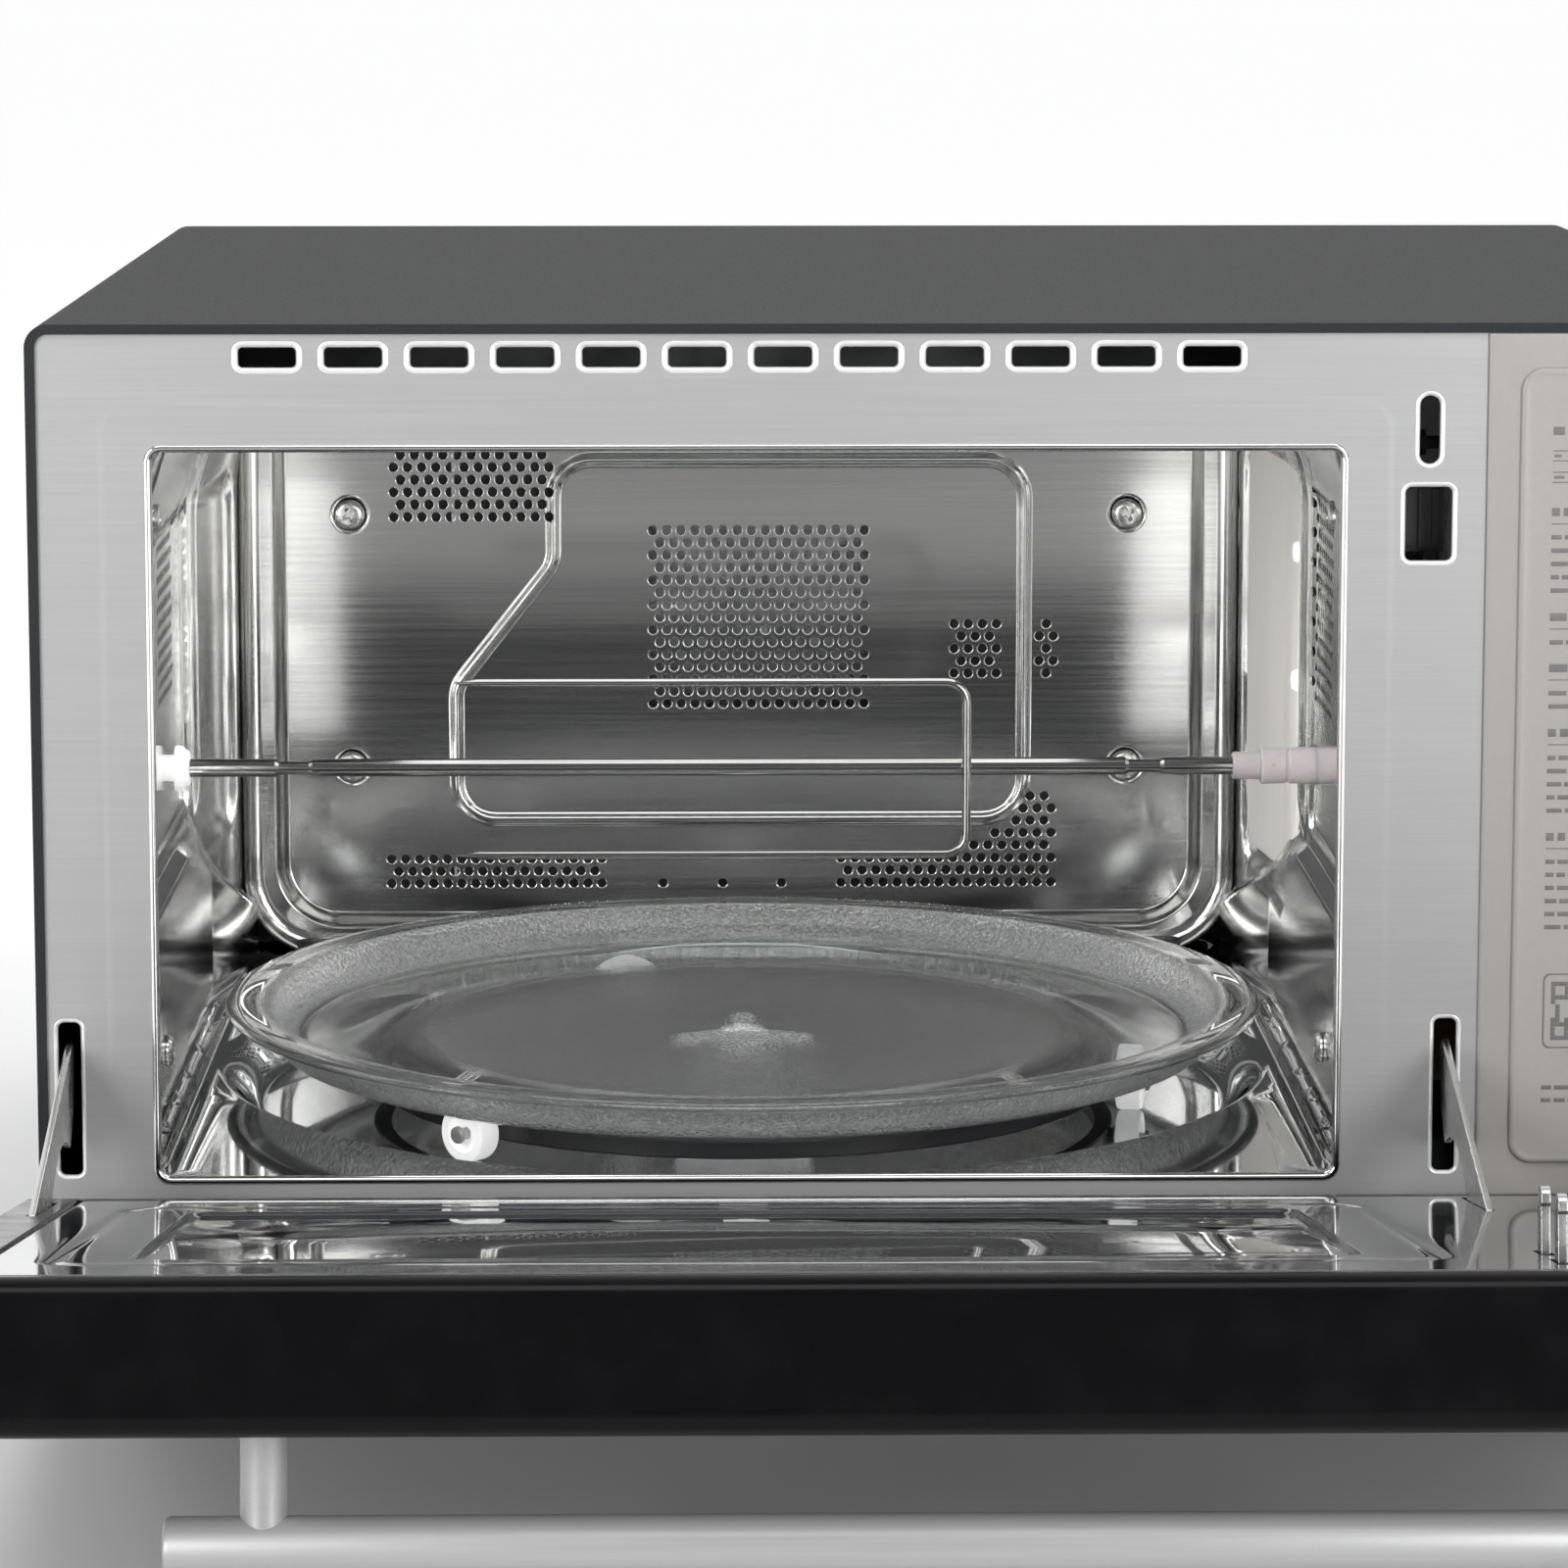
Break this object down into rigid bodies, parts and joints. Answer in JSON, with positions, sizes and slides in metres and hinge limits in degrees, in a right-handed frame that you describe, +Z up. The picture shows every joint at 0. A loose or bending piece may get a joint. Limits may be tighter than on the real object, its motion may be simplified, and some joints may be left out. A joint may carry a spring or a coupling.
{
  "type": "microwave oven",
  "caption": "Convection microwave oven with a full-width drop-down door, glass turntable on a roller ring, rotisserie spit with a wire fork, perforated steel cavity and side notes panel.",
  "frame": {"origin": "on the surface that the feet stand on, under the middle of the whole object's box with the door open", "axes": "+Z up, -Y towards the front and the open door, +X towards the notes panel's side"},
  "size_m": [0.53, 0.769, 0.322],
  "materials": {
    "casing_paint": "satin black paint",
    "satin_steel": "satin, fine horizontal grain",
    "bright_steel": "bright, near mirror",
    "rim_steel": "bright rolled edge",
    "galvanised": "galvanised",
    "zinc_steel": "bright zinc plate",
    "wire_steel": "polished",
    "aluminium": "satin",
    "greige_plastic": "fine satin",
    "black_plastic": "fine texture",
    "gloss_black": "gloss",
    "smoke_panel": "mirror gloss",
    "black_glass": "black backed, polished",
    "smoke_glass": "smoked",
    "clear_glass": "pressed, stippled rim",
    "white_plastic": "satin",
    "frosted_plastic": "translucent",
    "mica": "mica sheet",
    "rubber": "matte",
    "heater_sheath": "dark sheath",
    "copper_iron": "varnished",
    "board": "fibreglass board",
    "lamp_glass": "clear bulb"
  },
  "bodies": {
    "oven": {"outer_casing": "casing_paint", "base_plate": "galvanised", "rear_panel": "galvanised", "front_plate": "satin_steel", "cavity_rim": "rim_steel", "lower_trim": "casing_paint", "side_panel": "greige_plastic", "panel_insert": "greige_plastic", "cavity_left_wall": "bright_steel", "cavity_right_wall": "bright_steel", "cavity_ceiling": "bright_steel", "cavity_floor": "bright_steel", "cavity_rear_wall": "bright_steel", "cavity_screws": "zinc_steel", "casing_screws": "zinc_steel", "feet": "rubber", "waveguide_cover": "mica", "waveguide": "galvanised", "magnetron": "aluminium", "hv_transformer": "copper_iron", "hv_capacitor": "aluminium", "power_board": "board", "cavity_lamp": "lamp_glass", "grill_heater": "heater_sheath", "grill_reflector": "galvanised", "convection_housing": "galvanised", "ring_heater": "heater_sheath", "convection_motor": "galvanised", "cooling_motor": "copper_iron", "fan_shroud": "black_plastic", "turntable_motor": "galvanised", "rotisserie_motor": "galvanised", "spit_bush": "white_plastic", "interlock_bracket": "white_plastic", "door_switches": "black_plastic", "hinge_brackets": "zinc_steel", "mains_gland": "black_plastic"},
    "door": {"door_frame": "gloss_black", "door_glass": "black_glass", "door_inner_panel": "smoke_panel", "door_window": "smoke_glass", "door_screen": "casing_paint", "door_handle": "satin_steel", "hinge_arms": "zinc_steel", "hinge_pins": "zinc_steel", "control_board": "board"},
    "door_latch": {"door_latch": "zinc_steel"},
    "control_dial": {"control_dial": "aluminium"},
    "turntable": {"turntable_coupler": "white_plastic", "glass_tray": "clear_glass"},
    "roller_ring": {"roller_ring": "black_plastic"},
    "roller_1": {"roller_1": "white_plastic"},
    "roller_2": {"roller_2": "white_plastic"},
    "roller_3": {"roller_3": "white_plastic"},
    "rotisserie": {"spit": "wire_steel", "spit_fork": "wire_steel", "spit_coupler": "frosted_plastic"},
    "convection_fan": {"convection_fan": "aluminium"},
    "cooling_fan": {"cooling_fan": "black_plastic"},
    "interlock_lever": {"interlock_lever": "black_plastic"}
  },
  "joints": [
    {"name": "door_hinge", "type": "hinge", "parent": "oven", "child": "door", "pos_m": [0, -0.10454, 0.0373], "axis": [-1, 0, 0], "range_deg": [0, 80.3]},
    {"name": "latch_slide", "type": "slide", "parent": "door", "child": "door_latch", "axis": [0, -0.9857, 0.1685], "range_m": [-0.003, 0], "stiffness_N_per_m": 250, "springref_m": 0.001},
    {"name": "dial_turn", "type": "hinge", "parent": "door", "child": "control_dial", "pos_m": [0.212, -0.17839, 0.03673], "axis": [0, -0.1685, -0.9857], "continuous": true},
    {"name": "turntable_spin", "type": "hinge", "parent": "oven", "child": "turntable", "pos_m": [-0.051, 0.11046, 0.0665], "axis": [0, 0, 1], "continuous": true},
    {"name": "ring_spin", "type": "hinge", "parent": "oven", "child": "roller_ring", "pos_m": [-0.051, 0.11046, 0.05695], "axis": [0, 0, 1], "continuous": true},
    {"name": "roller_1_roll", "type": "hinge", "parent": "roller_ring", "child": "roller_1", "pos_m": [0.07723, 0.08367, 0.05695], "axis": [0.9789, -0.2045, 0], "continuous": true},
    {"name": "roller_2_roll", "type": "hinge", "parent": "roller_ring", "child": "roller_2", "pos_m": [-0.13866, 0.01311, 0.05695], "axis": [-0.6691, -0.7431, 0], "continuous": true},
    {"name": "roller_3_roll", "type": "hinge", "parent": "roller_ring", "child": "roller_3", "pos_m": [-0.09148, 0.23505, 0.05695], "axis": [-0.309, 0.9511, 0], "continuous": true},
    {"name": "spit_spin", "type": "hinge", "parent": "oven", "child": "rotisserie", "pos_m": [-0.051, 0.11046, 0.1587], "axis": [1, 0, 0], "continuous": true},
    {"name": "convection_fan_spin", "type": "hinge", "parent": "oven", "child": "convection_fan", "pos_m": [-0.0439, 0.32546, 0.184], "axis": [0, 1, 0], "continuous": true},
    {"name": "cooling_fan_spin", "type": "hinge", "parent": "oven", "child": "cooling_fan", "pos_m": [0.205, 0.33046, 0.236], "axis": [0, 1, 0], "continuous": true},
    {"name": "lever_pivot", "type": "hinge", "parent": "oven", "child": "interlock_lever", "pos_m": [0.1524, -0.03254, 0.282], "axis": [1, 0, 0], "range_deg": [0, 6], "stiffness_Nm_per_rad": 0.05, "springref_deg": -5.73}
  ],
  "couplings": [
    {"joint": "ring_spin", "follows": "turntable_spin", "ratio": 0.5},
    {"joint": "roller_1_roll", "follows": "turntable_spin", "ratio": -7.0811},
    {"joint": "roller_2_roll", "follows": "turntable_spin", "ratio": -7.0811},
    {"joint": "roller_3_roll", "follows": "turntable_spin", "ratio": -7.0811}
  ]
}
